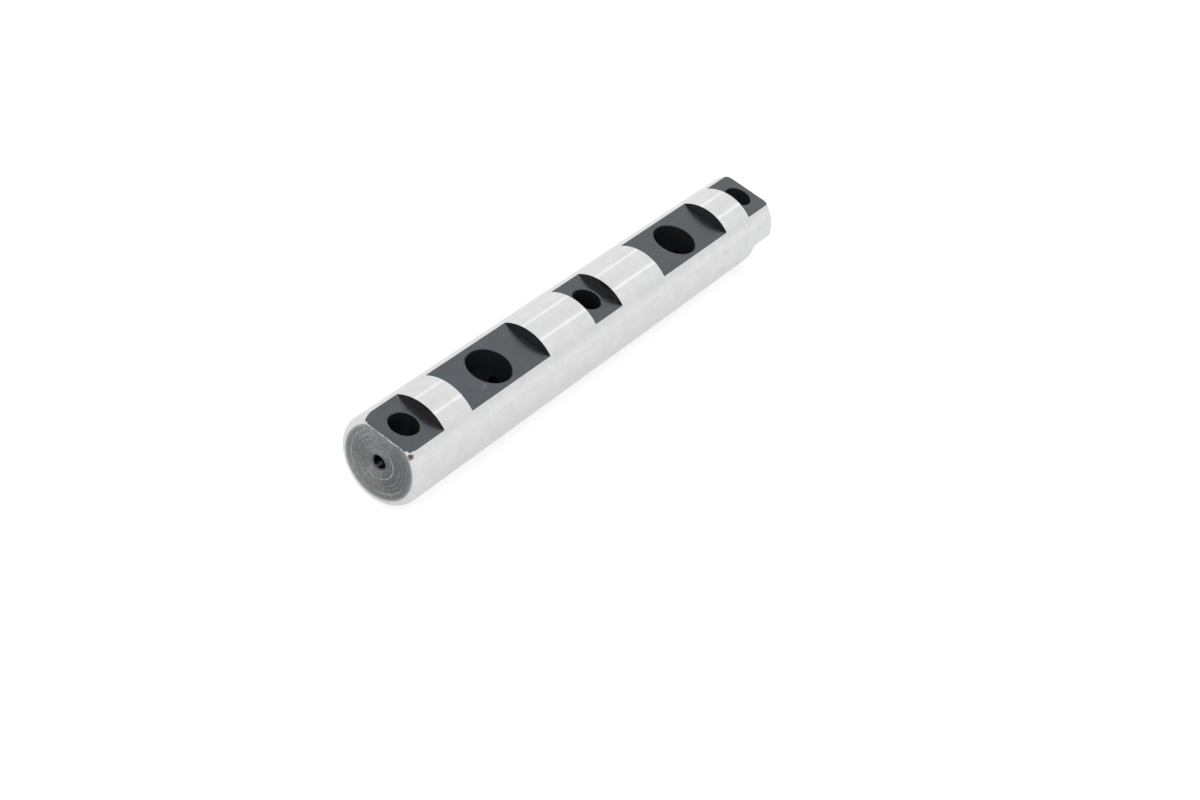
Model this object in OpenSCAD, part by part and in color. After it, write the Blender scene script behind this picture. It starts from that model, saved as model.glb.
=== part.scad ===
// Rocker shaft: one turned and ground steel bar that a row of valve rockers turns on.
// Five seats are milled along its top for the hold-down bolts, with full round lands between them.
// The axis is X, the seats face +Z, and the origin is on the axis half way along the shaft.
// Stations along the shaft are counted from the near end.

/* [Bar] */
// Ground diameter that the rockers turn on
shaft_d = 20; // [18:0.5:24]
// Radius turned on the near end's edge
near_edge_r = 1.5; // [0.6:0.1:2]
// Radius turned on the far end's edge
far_edge_r = 1; // [0.4:0.1:2]

/* [Seats and lands, from the near end] */
// Length of the open seat at the near end
near_end_seat_l = 10.4; // [9:0.1:14]
// Width of the round land behind it
near_land_l = 8.9; // [6:0.1:14]
// Length of each long seat
long_seat_l = 26.7; // [16:0.1:32]
// Width of each round land beside the middle seat
wide_land_l = 16.6; // [12:0.1:22]
// Length of the middle seat
mid_seat_l = 10.3; // [9:0.1:16]
// Width of the round land before the far end's seat
far_land_l = 9.9; // [6:0.1:14]
// Length of the open seat at the far end
far_end_seat_l = 9.2; // [8.5:0.1:14]
// Depth of every seat below the ground surface
seat_depth = 2.2; // [1.5:0.1:2.8]
// Radius that the cutter leaves at the foot of a seat's end wall
seat_corner_r = 0.2; // [0.1:0.05:0.8]
// Width of the broken edge where the near end's seat runs out through the end face
seat_end_break = 0.4; // [0.2:0.1:0.8]

/* [Bolt holes] */
// Diameter of the bolt holes in the three short seats
bolt_hole_d = 6.4; // [5:0.1:7]
// Diameter of the dowel bolt holes in the two long seats
dowel_hole_d = 10; // [8:0.1:10.4]
// Width of the broken edge round a hole's mouth
hole_edge = 0.2; // [0.1:0.05:0.5]

/* [Oil way] */
// Diameter of the oil gallery drilled along the axis
gallery_d = 3; // [2:0.1:4]
// Width of the countersink at the gallery's mouth
gallery_edge = 0.3; // [0.1:0.05:0.6]
// How far the gallery runs on past the last oil feed
gallery_run_on = 2.5; // [2:0.1:4]
// Included angle of the drill's point
drill_point = 118; // [90:1:140]
// Diameter of the oil feed drilled up into each land
feed_d = 2; // [1.2:0.1:2.6]

/* [Half lap] */
// Length of the lap cut out of the far end's underside
lap_l = 8; // [3:0.1:9]
// Height of the lap's ceiling above the shaft's axis
lap_rise = 0.9; // [0:0.1:2]
// Radius that the cutter leaves in the lap's inner corner
lap_corner_r = 1; // [0.2:0.1:1.5]

/* [Hidden] */
$fn = 96;

shaft_r = shaft_d / 2;
seat_z = shaft_r - seat_depth;
// How far a cutter reaches past where it starts, clear of the whole bar
run_out = shaft_d;

// Where each seat and land begins
near_land_x = near_end_seat_l;
near_long_x = near_land_x + near_land_l;
near_wide_x = near_long_x + long_seat_l;
mid_seat_x = near_wide_x + wide_land_l;
far_wide_x = mid_seat_x + mid_seat_l;
far_long_x = far_wide_x + wide_land_l;
far_land_x = far_long_x + long_seat_l;
far_seat_x = far_land_x + far_land_l;
shaft_l = far_seat_x + far_end_seat_l;

// Seats as [start, end], open at the two ends of the shaft
seats = [
    [-run_out, near_land_x],
    [near_long_x, near_wide_x],
    [mid_seat_x, far_wide_x],
    [far_long_x, far_land_x],
    [far_seat_x, shaft_l + run_out]
];

// Bolt holes as [station, diameter], each in the middle of its seat
bolt_holes = [
    [near_end_seat_l / 2, bolt_hole_d],
    [near_long_x + long_seat_l / 2, dowel_hole_d],
    [mid_seat_x + mid_seat_l / 2, bolt_hole_d],
    [far_long_x + long_seat_l / 2, dowel_hole_d],
    [far_seat_x + far_end_seat_l / 2, bolt_hole_d]
];

// Oil feeds, one in the middle of each land
feeds = [
    near_land_x + near_land_l / 2,
    near_wide_x + wide_land_l / 2,
    far_wide_x + wide_land_l / 2,
    far_land_x + far_land_l / 2
];
gallery_end = feeds[3] + feed_d / 2 + gallery_run_on;
lap_x = shaft_l - lap_l;

// Half section of the turned bar: radius across, length up
module bar_section() {
    square([shaft_r - max(near_edge_r, far_edge_r), shaft_l]);
    translate([0, near_edge_r])
        square([shaft_r, shaft_l - near_edge_r - far_edge_r]);
    edge_round(near_edge_r, near_edge_r);
    edge_round(far_edge_r, shaft_l - far_edge_r);
}

// Round edge of the bar, and the flat of the end face inside it
module edge_round(r, station) {
    translate([shaft_r - r, station])
        circle(r);
    translate([0, station - r])
        square([shaft_r - r, 2 * r]);
}

// The ground bar, lying along X from the near end's face
module turned_bar() {
    rotate([0, 90, 0])
        rotate_extrude()
            bar_section();
}

// Side view of what a square-nosed cutter takes out above the X axis, from station a to station b
module cut_profile(a, b, corner_r) {
    translate([a + corner_r, 0])
        square([b - a - 2 * corner_r, run_out]);
    translate([a, corner_r])
        square([b - a, run_out - corner_r]);
    for (x = [a + corner_r, b - corner_r])
        translate([x, corner_r])
            circle(corner_r);
}

// Milled step right across the bar, facing +Z
module milled_cut(a, b, corner_r) {
    rotate([90, 0, 0])
        linear_extrude(height = shaft_d + 2 * run_out, center = true)
            cut_profile(a, b, corner_r);
}

// Broken edge between the near end's seat and the end face
module end_break() {
    side = sqrt(2) * seat_end_break;
    translate([0, 0, seat_z])
        rotate([0, 45, 0])
            cube([side, shaft_d + 2 * run_out, side], center = true);
}

// Through hole across the bar, with its edge broken where it opens in the seat
module bolt_hole(station, d) {
    translate([station, 0, -shaft_r - run_out])
        cylinder(h = shaft_d + 2 * run_out, d = d);
    translate([station, 0, seat_z - hole_edge])
        cylinder(h = 2 * hole_edge, d1 = d, d2 = d + 4 * hole_edge);
}

// Blind oil gallery from the near end's face, with the cone that the drill's point leaves
module oil_gallery() {
    rotate([0, 90, 0]) {
        cylinder(h = gallery_end, d = gallery_d);
        translate([0, 0, gallery_end])
            cylinder(h = gallery_d / 2 / tan(drill_point / 2), d1 = gallery_d, d2 = 0);
        translate([0, 0, -gallery_edge])
            cylinder(h = 2 * gallery_edge, d1 = gallery_d + 4 * gallery_edge, d2 = gallery_d);
    }
}

// Oil feed from a land's underside up into the gallery
module oil_feed(station) {
    translate([station, 0, -shaft_r - run_out])
        cylinder(h = shaft_r + run_out, d = feed_d);
}

module rocker_shaft() {
    color("gainsboro")
        translate([-shaft_l / 2, 0, 0])
            difference() {
                turned_bar();
                for (s = seats)
                    translate([0, 0, seat_z])
                        milled_cut(s[0], s[1], seat_corner_r);
                translate([0, 0, lap_rise])
                    mirror([0, 0, 1])
                        milled_cut(lap_x, shaft_l + run_out, lap_corner_r);
                end_break();
                for (h = bolt_holes)
                    bolt_hole(h[0], h[1]);
                for (x = feeds)
                    oil_feed(x);
                oil_gallery();
            }
}

rocker_shaft();
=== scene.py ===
import bpy
import bmesh
import math
from mathutils import Matrix, Vector

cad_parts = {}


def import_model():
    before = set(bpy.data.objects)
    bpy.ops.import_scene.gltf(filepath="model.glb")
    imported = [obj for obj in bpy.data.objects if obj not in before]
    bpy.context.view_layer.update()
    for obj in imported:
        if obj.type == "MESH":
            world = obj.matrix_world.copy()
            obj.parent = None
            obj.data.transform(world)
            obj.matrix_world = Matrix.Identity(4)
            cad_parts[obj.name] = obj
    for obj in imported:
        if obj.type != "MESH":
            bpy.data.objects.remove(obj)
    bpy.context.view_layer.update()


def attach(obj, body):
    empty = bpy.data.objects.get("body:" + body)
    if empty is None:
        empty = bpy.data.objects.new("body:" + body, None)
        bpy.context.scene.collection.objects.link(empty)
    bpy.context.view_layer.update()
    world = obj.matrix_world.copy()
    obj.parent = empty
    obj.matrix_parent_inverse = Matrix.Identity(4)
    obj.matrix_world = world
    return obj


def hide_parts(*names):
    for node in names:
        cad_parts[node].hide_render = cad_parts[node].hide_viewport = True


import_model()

MM = 0.001

# Driving sizes of the bar, in millimetres, and from the near end where there are several
SHAFT_R = 10.0
NEAR_EDGE_R = 1.5
FAR_EDGE_R = 1.0
SEAT_LENGTHS = (10.4, 26.7, 10.3, 26.7, 9.2)
LAND_WIDTHS = (8.9, 16.6, 16.6, 9.9)
SEAT_DEPTH = 2.2
SEAT_CORNER_R = 0.2
SEAT_END_BREAK = 0.4
HOLE_RADII = (3.2, 5.0, 3.2, 5.0, 3.2)
HOLE_EDGE = 0.2
GALLERY_R = 1.5
GALLERY_EDGE = 0.3
GALLERY_RUN_ON = 2.5
DRILL_POINT = math.radians(118)
FEED_R = 1.0
LAP_L = 8.0
LAP_RISE = 0.9
LAP_CORNER_R = 1.0

# How far a cutter reaches past what it cuts
RUN_OUT = 20.0


def added(*lengths):
    """Sum of lengths in millimetres, without the stray last digits that adding brings."""
    return round(sum(lengths), 6)


def seat_and_land_spans():
    """Start and end station of each seat, and of each land, counted from the near end."""
    seats = []
    lands = []
    x = 0.0
    for seat, land in zip(SEAT_LENGTHS, LAND_WIDTHS + (0.0,)):
        seats.append((x, added(x, seat)))
        lands.append((added(x, seat), added(x, seat, land)))
        x = added(x, seat, land)
    return seats, lands[:-1]


def middle(span):
    """Station half way along a span."""
    return added(*span) / 2


# Places that follow from the sizes. Bolt holes are (station, radius), each in the middle of its seat,
# and an oil feed stands in the middle of each land
SEATS, LANDS = seat_and_land_spans()
SHAFT_L = SEATS[-1][1]
SEAT_Z = SHAFT_R - SEAT_DEPTH
BOLT_HOLES = [(middle(seat), r) for seat, r in zip(SEATS, HOLE_RADII)]
FEEDS = [middle(land) for land in LANDS]
GALLERY_END = added(FEEDS[-1], FEED_R, GALLERY_RUN_ON)
LAP_X = added(SHAFT_L, -LAP_L)

# Fineness of the mesh
ROUND_STEPS = 256
EDGE_STEPS = 8
HOLE_STEPS = 96
SHARP_ANGLE = math.radians(25)

# Points that the cuts leave closer together than this are joined
WELD = 0.002 * MM

# How a face is told by its middle and its normal: slack in millimetres, and shares of the X axis
SLACK = 0.01
ROUND_SLACK = 0.02
FACES_END = 0.99
LEANS_TO_END = 0.05

# Finishes, in the order of the bar's material slots; the last two are darker copies of the black, painted
# shade on the hole walls and in the small corners at the foot of the seat walls
GROUND, BLACK, TURNED, HOLE_SHADE, CORNER_SHADE = range(5)

# Camera, fitted to the photograph's 1200 by 800 frame
CAMERA_AT = Vector((-0.32138, -0.13857, 0.28171))
CAMERA_LOOKS_AT = Vector((-0.015074, -0.017582, 0.0))
CAMERA_ROLL = math.radians(21.905)
CAMERA_LENS = 61.462
CAMERA_SENSOR = 36.0
CAMERA_CLIP = 0.01

# Height of the floor that the bar lies on, and half its width, in metres
FLOOR_Z = -SHAFT_R * MM
FLOOR_HALF = 3.0

# The floor's own glow and its paleness, for rays from the camera and for all others
GLOW_SEEN, GLOW_REFLECTED = 0.43, 0.235
PALE_SEEN, PALE_REFLECTED = 0.85, 0.72

# Room light by angle round the bar's axis, counted from +Y upwards: (degrees, strength)
ROOM_LIGHT = (
    (-180, 0.98),
    (0, 0.97),
    (58, 0.97),
    (76, 0.93),
    (92, 0.97),
    (122, 0.97),
    (147, 0.88),
    (166, 0.98),
)

# Long thin lamps along the bar: name, angle in the same degrees, and power. In metres, how far from
# the axis they stand, how wide and long they are, and how far beyond the bar's middle they stand
TUBES = (("tube_left", 38.0, 0.16), ("tube_top", 96.0, 0.17))
TUBE_DISTANCE = 0.8
TUBE_WIDTH = 0.1
TUBE_LENGTH = 2.4
TUBE_AHEAD = 0.8

# Tints: the darkest and the palest of the ground steel and of the turned faces, then single ones
STEEL_TINTS = ((0.722, 0.726, 0.726, 1), (0.786, 0.789, 0.788, 1))
FACE_TINTS = ((0.098, 0.112, 0.12, 1), (0.3, 0.317, 0.318, 1))
FACE_BROWN = (0.27, 0.235, 0.19, 1)
BLACK_TINT = (0.11, 0.122, 0.133, 1)
BROWN_TINT = (0.122, 0.118, 0.12, 1)
WORN_TINT = (0.7, 0.71, 0.7, 1)

# How far the black reaches over the near seat's open edge: its level on the end face, how that level
# rises along the bar and falls across it, how ragged it is, and the station where it ends
LIP_Z = 7.12
LIP_SLOPE = 0.6
LIP_LEAN = 0.02
LIP_RAGGED = 0.16
LIP_END = 1.5

# Arcs worn bright on the end faces: radius, half width, from and to in degrees round from the top as
# seen from the near end, and strength
FACE_ARCS = (
    (2.0, 0.12, 95, 215, 0.5),
    (2.6, 0.12, -60, 50, 0.35),
    (3.2, 0.12, -20, 70, 0.4),
    (3.7, 0.18, 10, 182, 0.85),
    (3.9, 0.16, -182, -135, 0.6),
    (5.3, 0.1, 60, 150, 0.18),
    (6.25, 0.14, -62, -14, 0.6),
    (6.9, 0.15, -150, -65, 0.6),
    (7.15, 0.14, -95, -40, 0.5),
    (7.05, 0.17, 108, 178, 0.75),
    (7.3, 0.3, -182, -140, 0.35),
    (7.7, 0.1, 30, 110, 0.25),
)

# Middles of the two painted highlights on the end faces, bright wedges that stand in for a turned face's
# reflection, in the same degrees
PAINTED_HIGHLIGHT_TURNS = (-25, 200)

# Line beyond which the near seat's left corner is worn bright: its distance from the bar's middle at
# the end face, how that grows along the bar, and how ragged it is
CORNER_Y = 5.62
CORNER_SLOPE = 0.3
CORNER_RAGGED = 0.1

# Brown tint in blotches at the foot of the far walls of the near seat and the middle seat
BROWN_BAND_WALLS = (SEATS[0][1], SEATS[2][1])
BROWN_BAND_FROM_WALL = 0.25
BROWN_BAND_HALF_WIDTH = 0.55
BROWN_BAND_TINT = (0.2, 0.165, 0.16, 1)

# Faint light scuff beside the first large hole, its place as station, y and z
SCUFF_AT = (26.8, -3.3, SEAT_Z)
SCUFF_R = 0.9

# Brown nick beside the near seat's right corner, its place as station, y and z
NICK_AT = (0.12, -6.25, 6.7)
NICK_R = 0.78
NICK_TINT = (0.13, 0.1, 0.085, 1)


def station(x):
    """Place along the row's X axis, in metres, of a station in millimetres."""
    return (x - SHAFT_L / 2) * MM


def new_object(name, data):
    piece = bpy.data.objects.new(name, data)
    bpy.context.scene.collection.objects.link(piece)
    return piece


# The bar's shape: the turned bar first, then the cuts into it

def arc(cx, cy, r, start, end, steps):
    """Points on an arc, angles in degrees."""
    turns = [math.radians(start + (end - start) * i / steps) for i in range(steps + 1)]
    return [(cx + r * math.cos(t), cy + r * math.sin(t)) for t in turns]


def bar_profile():
    """Half section of the turned bar as (station, radius), from the near end's rim to the far end's."""
    near = arc(NEAR_EDGE_R, SHAFT_R - NEAR_EDGE_R, NEAR_EDGE_R, 180, 90, EDGE_STEPS)
    far = arc(SHAFT_L - FAR_EDGE_R, SHAFT_R - FAR_EDGE_R, FAR_EDGE_R, 90, 0, EDGE_STEPS)
    return near + far


def turned_bar():
    bm = bmesh.new()
    rings = []
    for x, r in bar_profile():
        ring = []
        for i in range(ROUND_STEPS):
            t = 2 * math.pi * i / ROUND_STEPS
            ring.append(bm.verts.new((station(x), r * math.cos(t) * MM, r * math.sin(t) * MM)))
        rings.append(ring)
    for a, b in zip(rings, rings[1:]):
        for i in range(ROUND_STEPS):
            j = (i + 1) % ROUND_STEPS
            bm.faces.new((a[i], a[j], b[j], b[i]))
    bm.faces.new(rings[0])
    bm.faces.new(list(reversed(rings[-1])))
    bmesh.ops.recalc_face_normals(bm, faces=bm.faces)
    mesh = bpy.data.meshes.new("bar")
    bm.to_mesh(mesh)
    bm.free()
    return new_object("shaft", mesh)


def cut_section(a, b, corner_r, open_start, open_end):
    """Outline, in station and height, of what a square-nosed cutter takes out from station a to b."""
    lo = -RUN_OUT if open_start else a
    hi = SHAFT_L + RUN_OUT if open_end else b
    outline = []
    if open_start:
        outline.append((lo, 0.0))
    else:
        outline += arc(lo + corner_r, corner_r, corner_r, 180, 270, EDGE_STEPS)
    if open_end:
        outline.append((hi, 0.0))
    else:
        outline += arc(hi - corner_r, corner_r, corner_r, 270, 360, EDGE_STEPS)
    return outline + [(hi, RUN_OUT), (lo, RUN_OUT)]


def add_prism(bm, outline, level, upward):
    """Adds an outline drawn in station and height as a prism right across the bar."""
    sides = []
    for y in (-RUN_OUT, RUN_OUT):
        sides.append([bm.verts.new((station(x), y * MM, (level + upward * z) * MM)) for x, z in outline])
    bm.faces.new(sides[0])
    bm.faces.new(list(reversed(sides[1])))
    count = len(outline)
    for i in range(count):
        j = (i + 1) % count
        bm.faces.new((sides[0][i], sides[1][i], sides[1][j], sides[0][j]))


def add_turned(bm, profile, place):
    """Adds a solid of revolution, profile as (radius, height) pairs, put in place by a matrix."""
    rings = []
    for r, z in profile:
        if r == 0:
            points = [Vector((0, 0, z * MM))]
        else:
            turns = [2 * math.pi * i / HOLE_STEPS for i in range(HOLE_STEPS)]
            points = [Vector((r * math.cos(t) * MM, r * math.sin(t) * MM, z * MM)) for t in turns]
        rings.append([bm.verts.new(place @ point) for point in points])
    for a, b in zip(rings, rings[1:]):
        for i in range(HOLE_STEPS):
            j = (i + 1) % HOLE_STEPS
            if len(b) == 1:
                bm.faces.new((a[i], a[j], b[0]))
            else:
                bm.faces.new((a[i], a[j], b[j], b[i]))
    for ring, flip in ((rings[0], True), (rings[-1], False)):
        if len(ring) > 1:
            bm.faces.new(list(reversed(ring)) if flip else ring)


def cutter(name, fill):
    bm = bmesh.new()
    fill(bm)
    bmesh.ops.recalc_face_normals(bm, faces=bm.faces)
    mesh = bpy.data.meshes.new(name)
    bm.to_mesh(mesh)
    bm.free()
    return new_object(name, mesh)


def fill_mills(bm):
    for a, b in SEATS:
        add_prism(bm, cut_section(a, b, SEAT_CORNER_R, a == 0, b == SHAFT_L), SEAT_Z, 1)
    add_prism(bm, cut_section(LAP_X, SHAFT_L, LAP_CORNER_R, False, True), LAP_RISE, -1)


def fill_break(bm):
    """What is broken off where the near end's seat runs out through the end face."""
    e = SEAT_END_BREAK
    add_prism(bm, [(2 * e, e), (0, -e), (-2 * e, -e), (-2 * e, e)], SEAT_Z, 1)


def fill_holes(bm):
    for x, r in BOLT_HOLES:
        wide = r + 2 * HOLE_EDGE
        profile = [(r, -RUN_OUT), (r, SEAT_Z - HOLE_EDGE), (wide, SEAT_Z + HOLE_EDGE), (wide, RUN_OUT)]
        add_turned(bm, profile, Matrix.Translation((station(x), 0, 0)))
    for x in FEEDS:
        add_turned(bm, [(FEED_R, -RUN_OUT), (FEED_R, 0.0)], Matrix.Translation((station(x), 0, 0)))


def fill_gallery(bm):
    point = GALLERY_R / math.tan(DRILL_POINT / 2)
    wide = GALLERY_R + 2 * GALLERY_EDGE
    mouth = [(wide, -GALLERY_EDGE), (GALLERY_R, GALLERY_EDGE)]
    profile = mouth + [(GALLERY_R, GALLERY_END), (0, GALLERY_END + point)]
    along = Matrix.Translation((station(0), 0, 0)) @ Matrix.Rotation(math.radians(90), 4, "Y")
    add_turned(bm, profile, along)


def apply_modifiers(piece):
    depsgraph = bpy.context.evaluated_depsgraph_get()
    mesh = bpy.data.meshes.new_from_object(piece.evaluated_get(depsgraph))
    piece.modifiers.clear()
    piece.data = mesh


def cut(piece, tool):
    step = piece.modifiers.new("cut", "BOOLEAN")
    step.operation = "DIFFERENCE"
    step.solver = "EXACT"
    step.object = tool
    apply_modifiers(piece)
    bpy.data.objects.remove(tool)


def weld(piece):
    """Joins the points that the cuts leave almost on top of each other, so that no face has no width."""
    bm = bmesh.new()
    bm.from_mesh(piece.data)
    bmesh.ops.remove_doubles(bm, verts=bm.verts, dist=WELD)
    bmesh.ops.dissolve_degenerate(bm, edges=bm.edges, dist=WELD)
    bm.to_mesh(piece.data)
    bm.free()


def shaft():
    piece = turned_bar()
    cut(piece, cutter("mills", fill_mills))
    cut(piece, cutter("break", fill_break))
    cut(piece, cutter("holes", fill_holes))
    cut(piece, cutter("gallery", fill_gallery))
    weld(piece)
    return piece


# The finishes

class Nodes:
    """The node tree of a material or of the world, with short calls to add and join nodes."""

    def __init__(self, owner, shader="Principled BSDF"):
        owner.use_nodes = True
        self.owner = owner
        self.tree = owner.node_tree
        self.shader = self.tree.nodes[shader]

    def add(self, kind, **settings):
        node = self.tree.nodes.new(kind)
        for key, value in settings.items():
            setattr(node, key, value)
        return node

    def feed(self, socket, value):
        """Joins an output to an input socket, or sets the socket's own value."""
        if isinstance(value, bpy.types.NodeSocket):
            self.tree.links.new(value, socket)
        else:
            socket.default_value = value

    def math(self, operation, a, b=0.0, clamp=False):
        node = self.add("ShaderNodeMath", operation=operation, use_clamp=clamp)
        self.feed(node.inputs[0], a)
        self.feed(node.inputs[1], b)
        return node.outputs[0]

    def plus(self, a, b):
        return self.math("ADD", a, b)

    def minus(self, a, b):
        return self.math("SUBTRACT", a, b)

    def times(self, a, b):
        return self.math("MULTIPLY", a, b)

    def most(self, a, b):
        return self.math("MAXIMUM", a, b)

    def place(self, scale=(1, 1, 1)):
        """Object coordinates, in millimetres, stretched by scale."""
        coords = self.add("ShaderNodeTexCoord")
        mapping = self.add("ShaderNodeMapping")
        mapping.inputs["Scale"].default_value = [v / MM for v in scale]
        self.feed(mapping.inputs["Vector"], coords.outputs["Object"])
        return mapping.outputs["Vector"]

    def spot(self):
        """Station, y and z of the shaded place, in millimetres."""
        split = self.add("ShaderNodeSeparateXYZ")
        self.feed(split.inputs[0], self.place())
        return self.plus(split.outputs[0], SHAFT_L / 2), split.outputs[1], split.outputs[2]

    def distance(self, place):
        """Distance of the shaded place from a place given as station, y and z, in millimetres."""
        node = self.add("ShaderNodeVectorMath", operation="DISTANCE")
        self.feed(node.inputs[0], self.place())
        node.inputs[1].default_value = (place[0] - SHAFT_L / 2, place[1], place[2])
        return node.outputs["Value"]

    def line(self, value, at, half_width):
        """1 where a value is at a level, falling to 0 at half_width either side of it."""
        off = self.math("ABSOLUTE", self.minus(value, at))
        return self.remap(off, 0.0, half_width, 1.0, 0.0)

    def noise(self, scale, detail=3.0, size=(1, 1, 1), roughness=0.5):
        node = self.add("ShaderNodeTexNoise")
        self.feed(node.inputs["Vector"], self.place(size))
        node.inputs["Scale"].default_value = scale
        node.inputs["Detail"].default_value = detail
        node.inputs["Roughness"].default_value = roughness
        return node.outputs["Fac"]

    def remap(self, value, from_low, from_high, to_low, to_high):
        """Carries a value over from one range to another, and stops at the new range's ends."""
        node = self.add("ShaderNodeMapRange")
        keys = ("Value", "From Min", "From Max", "To Min", "To Max")
        for key, v in zip(keys, (value, from_low, from_high, to_low, to_high)):
            self.feed(node.inputs[key], v)
        return node.outputs["Result"]

    def patch(self, scale, noise_range, new_range, **settings):
        """Noise, carried over from one range to another."""
        return self.remap(self.noise(scale, **settings), *noise_range, *new_range)

    def mix(self, share, a, b):
        node = self.add("ShaderNodeMix", data_type="RGBA")
        self.feed(node.inputs[0], share)
        self.feed(node.inputs[6], a)
        self.feed(node.inputs[7], b)
        return node.outputs[2]

    def bump(self, height, strength, distance):
        node = self.add("ShaderNodeBump")
        node.inputs["Strength"].default_value = strength
        node.inputs["Distance"].default_value = distance
        self.feed(node.inputs["Height"], height)
        self.feed(self.shader.inputs["Normal"], node.outputs["Normal"])


def new_material(name):
    return Nodes(bpy.data.materials.new(name))


def shaded(tint, share):
    """A tint at a share of its paleness."""
    return tuple(share * v for v in tint[:3]) + (1,)


def worn_lip(n):
    """Height above the level down to which the near seat's black reaches over the edge."""
    x, y, z = n.spot()
    level = n.plus(n.times(x, LIP_SLOPE), LIP_Z)
    level = n.minus(level, n.times(y, LIP_LEAN))
    ragged = n.patch(1.6, (0.3, 0.7), (-LIP_RAGGED, LIP_RAGGED), detail=4.0)
    return n.plus(n.minus(z, level), ragged)


def worn_corner(n):
    """1 where the near seat's left corner is worn bright, 0 elsewhere."""
    x, y = n.spot()[:2]
    beyond = n.minus(y, n.plus(n.times(x, CORNER_SLOPE), CORNER_Y))
    ragged = n.patch(1.6, (0.3, 0.7), (-CORNER_RAGGED, CORNER_RAGGED), detail=4.0)
    return n.remap(n.plus(beyond, ragged), 0.0, 0.06, 0.0, 1.0)


def nick(n):
    """1 in the nick beside the near seat's right corner, 0 elsewhere."""
    ragged = n.patch(2.2, (0.35, 0.65), (-0.25, 0.25))
    return n.remap(n.plus(n.distance(NICK_AT), ragged), 0.6 * NICK_R, NICK_R, 1.0, 0.0)


def ground_steel():
    """Bright ground surface: fine marks round the bar, faint clouds, the black's ragged end and the nick."""
    n = new_material("ground_steel")
    marks = n.noise(1.0, detail=4.0, size=(6.0, 0.25, 0.25))
    clouds = n.noise(0.35, detail=3.0)
    both = n.plus(n.times(marks, 0.35), n.times(clouds, 0.65))
    bright = n.mix(n.remap(both, 0.35, 0.65, 0.0, 1.0), *STEEL_TINTS)
    lip = n.remap(worn_lip(n), 0.0, 0.05, 0.0, 1.0)
    lip = n.times(lip, n.remap(n.spot()[0], LIP_END - 0.1, LIP_END, 1.0, 0.0))
    lip = n.times(lip, n.minus(1.0, worn_corner(n)))
    base = n.mix(lip, bright, BLACK_TINT)
    n.feed(n.shader.inputs["Base Color"], n.mix(nick(n), base, NICK_TINT))
    n.feed(n.shader.inputs["Roughness"], n.remap(marks, 0.3, 0.7, 0.08, 0.13))
    n.shader.inputs["Metallic"].default_value = 1.0
    n.bump(marks, 0.05, 0.02 * MM)
    return n.owner


def black_oxide(name, share=1.0, metallic=1.0, roughness=(0.26, 0.33)):
    """Satin blue-black left on all that was cut before the bar was ground, at a share of its paleness; a low
    share makes a darker copy that paints shade.
    """
    n = new_material(name)
    grain = n.noise(2.2, detail=4.0)
    clouds = n.noise(0.3, detail=2.0)
    tone = n.remap(n.plus(grain, clouds), 0.7, 1.3, 0.0, 1.0)
    base = n.mix(tone, shaded(BLACK_TINT, 0.94 * share), shaded(BLACK_TINT, 1.1 * share))
    brown = n.patch(0.22, (0.5, 0.62), (0.0, 0.5))
    base = n.mix(brown, base, shaded(BROWN_TINT, share))
    x = n.spot()[0]
    blotches = n.patch(0.9, (0.38, 0.55), (0.3, 1.0), detail=4.0)
    # Paler brown tint in blotches along the foot of two far walls
    for wall in BROWN_BAND_WALLS:
        brown_band = n.times(n.line(x, wall - BROWN_BAND_FROM_WALL, BROWN_BAND_HALF_WIDTH), blotches)
        base = n.mix(brown_band, base, shaded(BROWN_BAND_TINT, share))
    scuff = n.plus(n.distance(SCUFF_AT), n.patch(1.5, (0.3, 0.7), (-0.5, 0.5), detail=4.0))
    base = n.mix(n.remap(scuff, 0.0, SCUFF_R, 0.07, 0.0), base, WORN_TINT)
    n.feed(n.shader.inputs["Base Color"], n.mix(worn_corner(n), base, WORN_TINT))
    n.feed(n.shader.inputs["Roughness"], n.remap(grain, 0.3, 0.7, *roughness))
    n.shader.inputs["Metallic"].default_value = metallic
    n.bump(grain, 0.1, 0.02 * MM)
    return n.owner


def painted_highlight_wedges(n, turn):
    """1 in the middle of each painted highlight, falling to 0 a quarter turn away."""
    highlight_share = 0.0
    for highlight_turn in PAINTED_HIGHLIGHT_TURNS:
        off = n.times(n.minus(turn, highlight_turn), math.pi / 180)
        swing = n.most(n.math("COSINE", off), 0.0)
        highlight_share = n.math("ADD", highlight_share, n.times(swing, swing), clamp=True)
    return highlight_share


def worn_arcs(n, radius, turn, grain):
    """How bright the rim and the arcs on an end face are worn."""
    wobble = n.plus(radius, n.remap(grain, 0.3, 0.7, -0.1, 0.1))
    broken = n.patch(0.8, (0.36, 0.6), (0.25, 1.0), detail=4.0, roughness=0.6)
    wear = n.remap(radius, 7.9, 8.6, 0.0, 0.5)
    for at, half_width, start, end, strength in FACE_ARCS:
        off = n.math("ABSOLUTE", n.minus(turn, (start + end) / 2))
        along = n.remap(off, 0.3 * (end - start), 0.5 * (end - start), strength, 0.0)
        wear = n.most(wear, n.times(n.times(n.line(wobble, at, half_width), along), broken))
    return wear


def spots_and_painted_glints(n, z, highlight_share):
    """How bright the worn streaks and specks on an end face are, and the painted glinting specks inside the
    painted highlights.
    """
    streaks = n.patch(1.0, (0.66, 0.74), (0.0, 0.3), detail=2.0, size=(1, 3.2, 0.25))
    specks = n.patch(3.5, (0.66, 0.74), (0.0, 0.6), detail=2.0)
    specks = n.times(specks, n.remap(z, -4.0, 0.0, 1.0, 0.2))
    # Painted glinting specks: bright dots of painted reflection, only inside the painted highlights
    painted_glints = n.times(n.patch(1.25, (0.5, 0.64), (0.0, 0.19), roughness=0.6), highlight_share)
    return n.most(n.most(streaks, specks), painted_glints)


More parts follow.
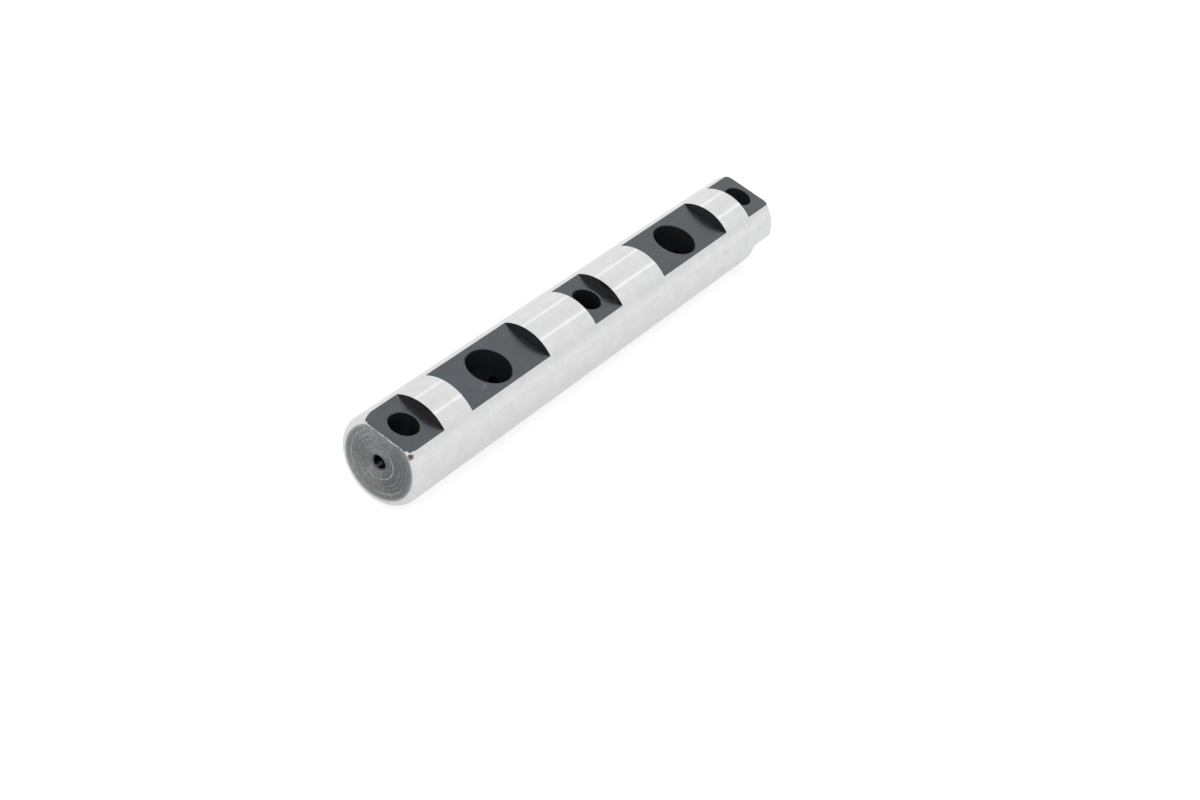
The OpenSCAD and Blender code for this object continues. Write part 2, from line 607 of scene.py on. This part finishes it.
def turned_face():
    """Grey turned end: rings round the centre, two painted highlights with painted glinting specks, brown
    traces, and all that is worn bright.
    """
    n = new_material("turned_face")
    y, z = n.spot()[1:]
    radius = n.math("SQRT", n.plus(n.times(y, y), n.times(z, z)))
    turn = n.times(n.math("ARCTAN2", n.times(y, -1.0), z), 180 / math.pi)
    rings = n.add("ShaderNodeTexNoise", noise_dimensions="1D")
    n.feed(rings.inputs["W"], radius)
    rings.inputs["Scale"].default_value = 2.6
    rings.inputs["Detail"].default_value = 5.0
    grain = n.noise(2.5, detail=5.0, roughness=0.65)
    tone = n.plus(n.times(rings.outputs["Fac"], 0.35), n.times(grain, 0.65))
    # Two opposite wedges of the face painted paler: a painted highlight standing in for the turned face's
    # reflection
    highlight_share = painted_highlight_wedges(n, turn)
    paleness = n.plus(n.remap(tone, 0.4, 0.62, 0.0, 0.5), n.times(highlight_share, 0.3))
    paleness = n.plus(paleness, n.remap(radius, 5.4, 7.8, 0.0, 0.2))
    base = n.mix(paleness, *FACE_TINTS)
    brown = n.patch(0.45, (0.5, 0.64), (0.0, 0.75), detail=5.0, roughness=0.7)
    brown = n.times(brown, n.remap(z, -6.0, 2.0, 1.0, 0.0))
    base = n.mix(brown, base, FACE_BROWN)
    lip = worn_lip(n)
    edge = n.times(n.line(lip, -0.2, 0.26), n.patch(2.0, (0.42, 0.56), (0.1, 1.2)))
    # Worn arcs, streaks and specks, together with the painted glinting specks
    wear = n.most(worn_arcs(n, radius, turn, grain), spots_and_painted_glints(n, z, highlight_share))
    base = n.mix(n.most(wear, edge), base, WORN_TINT)
    base = n.mix(n.remap(lip, 0.0, 0.05, 0.0, 1.0), base, BLACK_TINT)
    n.feed(n.shader.inputs["Base Color"], base)
    n.shader.inputs["Metallic"].default_value = 1.0
    n.shader.inputs["Roughness"].default_value = 0.36
    n.bump(n.plus(rings.outputs["Fac"], n.times(grain, 0.5)), 0.25, 0.03 * MM)
    return n.owner


def dress(piece):
    """Gives each face the finish of the surface that it lies on."""
    # Darker copies of the black: painted shade on the hole walls and in the small corners at the foot of the
    # seat walls
    hole_shade = black_oxide("black_painted_shade_holes", share=0.42, metallic=0.88, roughness=(0.5, 0.6))
    corner = black_oxide("black_painted_shade_corners", share=0.17)
    for finish in (ground_steel(), black_oxide("black_oxide"), turned_face(), hole_shade, corner):
        piece.data.materials.append(finish)
    for face in piece.data.polygons:
        face.material_index = finish_of(face)
        face.use_smooth = True


def shade(piece):
    """Keeps the flats flat and the rounds smooth, with a crisp edge where they meet."""
    piece.data.set_sharp_from_angle(angle=SHARP_ANGLE)
    flat = piece.modifiers.new("normals", "WEIGHTED_NORMAL")
    flat.keep_sharp = True


def in_hole(x, y, z):
    """Whether a place lies on a hole's wall."""
    for hole_x, r in BOLT_HOLES:
        if math.hypot(x - hole_x, y) < r + SLACK and z < SEAT_Z - HOLE_EDGE:
            return True
    if any(math.hypot(x - feed_x, y) < FEED_R + SLACK and z < 0 for feed_x in FEEDS):
        return True
    return math.hypot(y, z) < GALLERY_R + SLACK and x > BOLT_HOLES[0][0]


def in_corner(x, z):
    """Whether a place lies in the small radius at the foot of a seat's end wall."""
    walls = [end for seat in SEATS for end in seat if 0 < end < SHAFT_L]
    return SEAT_Z < z < SEAT_Z + SEAT_CORNER_R and any(abs(x - wall) < SEAT_CORNER_R for wall in walls)


def finish_of(face):
    """Which finish a face of the bar has."""
    x = face.center.x / MM + SHAFT_L / 2
    y = face.center.y / MM
    z = face.center.z / MM
    lean = face.normal.x
    across = math.hypot(y, z)
    if abs(across - SHAFT_R) < ROUND_SLACK:
        return GROUND
    on_near_face = lean < -FACES_END and x < SLACK
    on_far_face = lean > FACES_END and x > SHAFT_L - SLACK
    if on_near_face or on_far_face:
        return TURNED
    near_round = x < NEAR_EDGE_R and lean < -LEANS_TO_END and across > SHAFT_R - NEAR_EDGE_R
    far_round = x > SHAFT_L - FAR_EDGE_R and lean > LEANS_TO_END and across > SHAFT_R - FAR_EDGE_R
    if near_round or far_round:
        return GROUND
    # The small corners at the foot of the walls and the hole walls take the darker copies of the black,
    # painted shade
    if in_corner(x, z):
        return CORNER_SHADE
    return HOLE_SHADE if in_hole(x, y, z) else BLACK


# Camera, floor and light

def camera():
    data = bpy.data.cameras.new("camera")
    data.sensor_width = CAMERA_SENSOR
    data.lens = CAMERA_LENS
    data.clip_start = CAMERA_CLIP
    made = new_object("camera", data)
    view = (CAMERA_LOOKS_AT - CAMERA_AT).normalized()
    turn = view.to_track_quat("-Z", "Y").to_matrix().to_4x4()
    made.matrix_world = Matrix.Translation(CAMERA_AT) @ turn @ Matrix.Rotation(CAMERA_ROLL, 4, "Z")
    bpy.context.scene.camera = made


def floor():
    """White floor that keeps a soft shadow under the bar."""
    mesh = bpy.data.meshes.new("floor")
    signs = ((-1, -1), (1, -1), (1, 1), (-1, 1))
    corners = [(x * FLOOR_HALF, y * FLOOR_HALF, FLOOR_Z) for x, y in signs]
    mesh.from_pydata(corners, [], [(0, 1, 2, 3)])
    made = new_object("floor", mesh)
    n = new_material("floor_white")
    n.tree.nodes.remove(n.shader)
    matte = n.add("ShaderNodeBsdfDiffuse")
    glow = n.add("ShaderNodeEmission")
    seen = n.add("ShaderNodeLightPath").outputs["Is Camera Ray"]
    n.feed(matte.inputs["Color"], n.remap(seen, 0.0, 1.0, PALE_REFLECTED, PALE_SEEN))
    n.feed(glow.inputs["Strength"], n.remap(seen, 0.0, 1.0, GLOW_REFLECTED, GLOW_SEEN))
    both = n.add("ShaderNodeAddShader")
    n.feed(both.inputs[0], matte.outputs[0])
    n.feed(both.inputs[1], glow.outputs[0])
    n.feed(n.tree.nodes["Material Output"].inputs["Surface"], both.outputs[0])
    mesh.materials.append(n.owner)


def world():
    """White room light, a little weaker in two soft bands along the bar."""
    made = bpy.data.worlds.new("studio")
    n = Nodes(made, "Background")
    split = n.add("ShaderNodeSeparateXYZ")
    n.feed(split.inputs[0], n.add("ShaderNodeTexCoord").outputs["Generated"])
    angle = n.math("ARCTAN2", split.outputs[2], split.outputs[1])
    ramp = n.add("ShaderNodeValToRGB")
    n.feed(ramp.inputs[0], n.remap(angle, -math.pi, math.pi, 0.0, 1.0))
    stops = ramp.color_ramp.elements
    while len(stops) < len(ROOM_LIGHT):
        stops.new(0.5)
    for stop, (degrees, strength) in zip(stops, ROOM_LIGHT):
        stop.position = (degrees + 180) / 360
        stop.color = (strength, strength, strength, 1)
    n.feed(n.shader.inputs["Color"], ramp.outputs[0])
    bpy.context.scene.world = made


def tube_light(name, turn, power):
    """Long thin lamp along the bar, shining at its axis."""
    data = bpy.data.lights.new(name, "AREA")
    data.shape = "RECTANGLE"
    data.size = TUBE_LENGTH
    data.size_y = TUBE_WIDTH
    data.energy = power
    made = new_object(name, data)
    angle = math.radians(turn)
    inward = Vector((0, -math.cos(angle), -math.sin(angle)))
    along = Vector((1, 0, 0))
    at = TUBE_AHEAD * along - TUBE_DISTANCE * inward
    axes = Matrix((along, -inward.cross(along), -inward)).transposed().to_4x4()
    made.matrix_world = Matrix.Translation(at) @ axes
    made.visible_camera = False


bar = shaft()
dress(bar)
shade(bar)
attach(bar, "root")
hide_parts("rocker_shaft")
floor()
world()
for tube in TUBES:
    tube_light(*tube)
camera()
bpy.context.scene.view_settings.view_transform = "Standard"
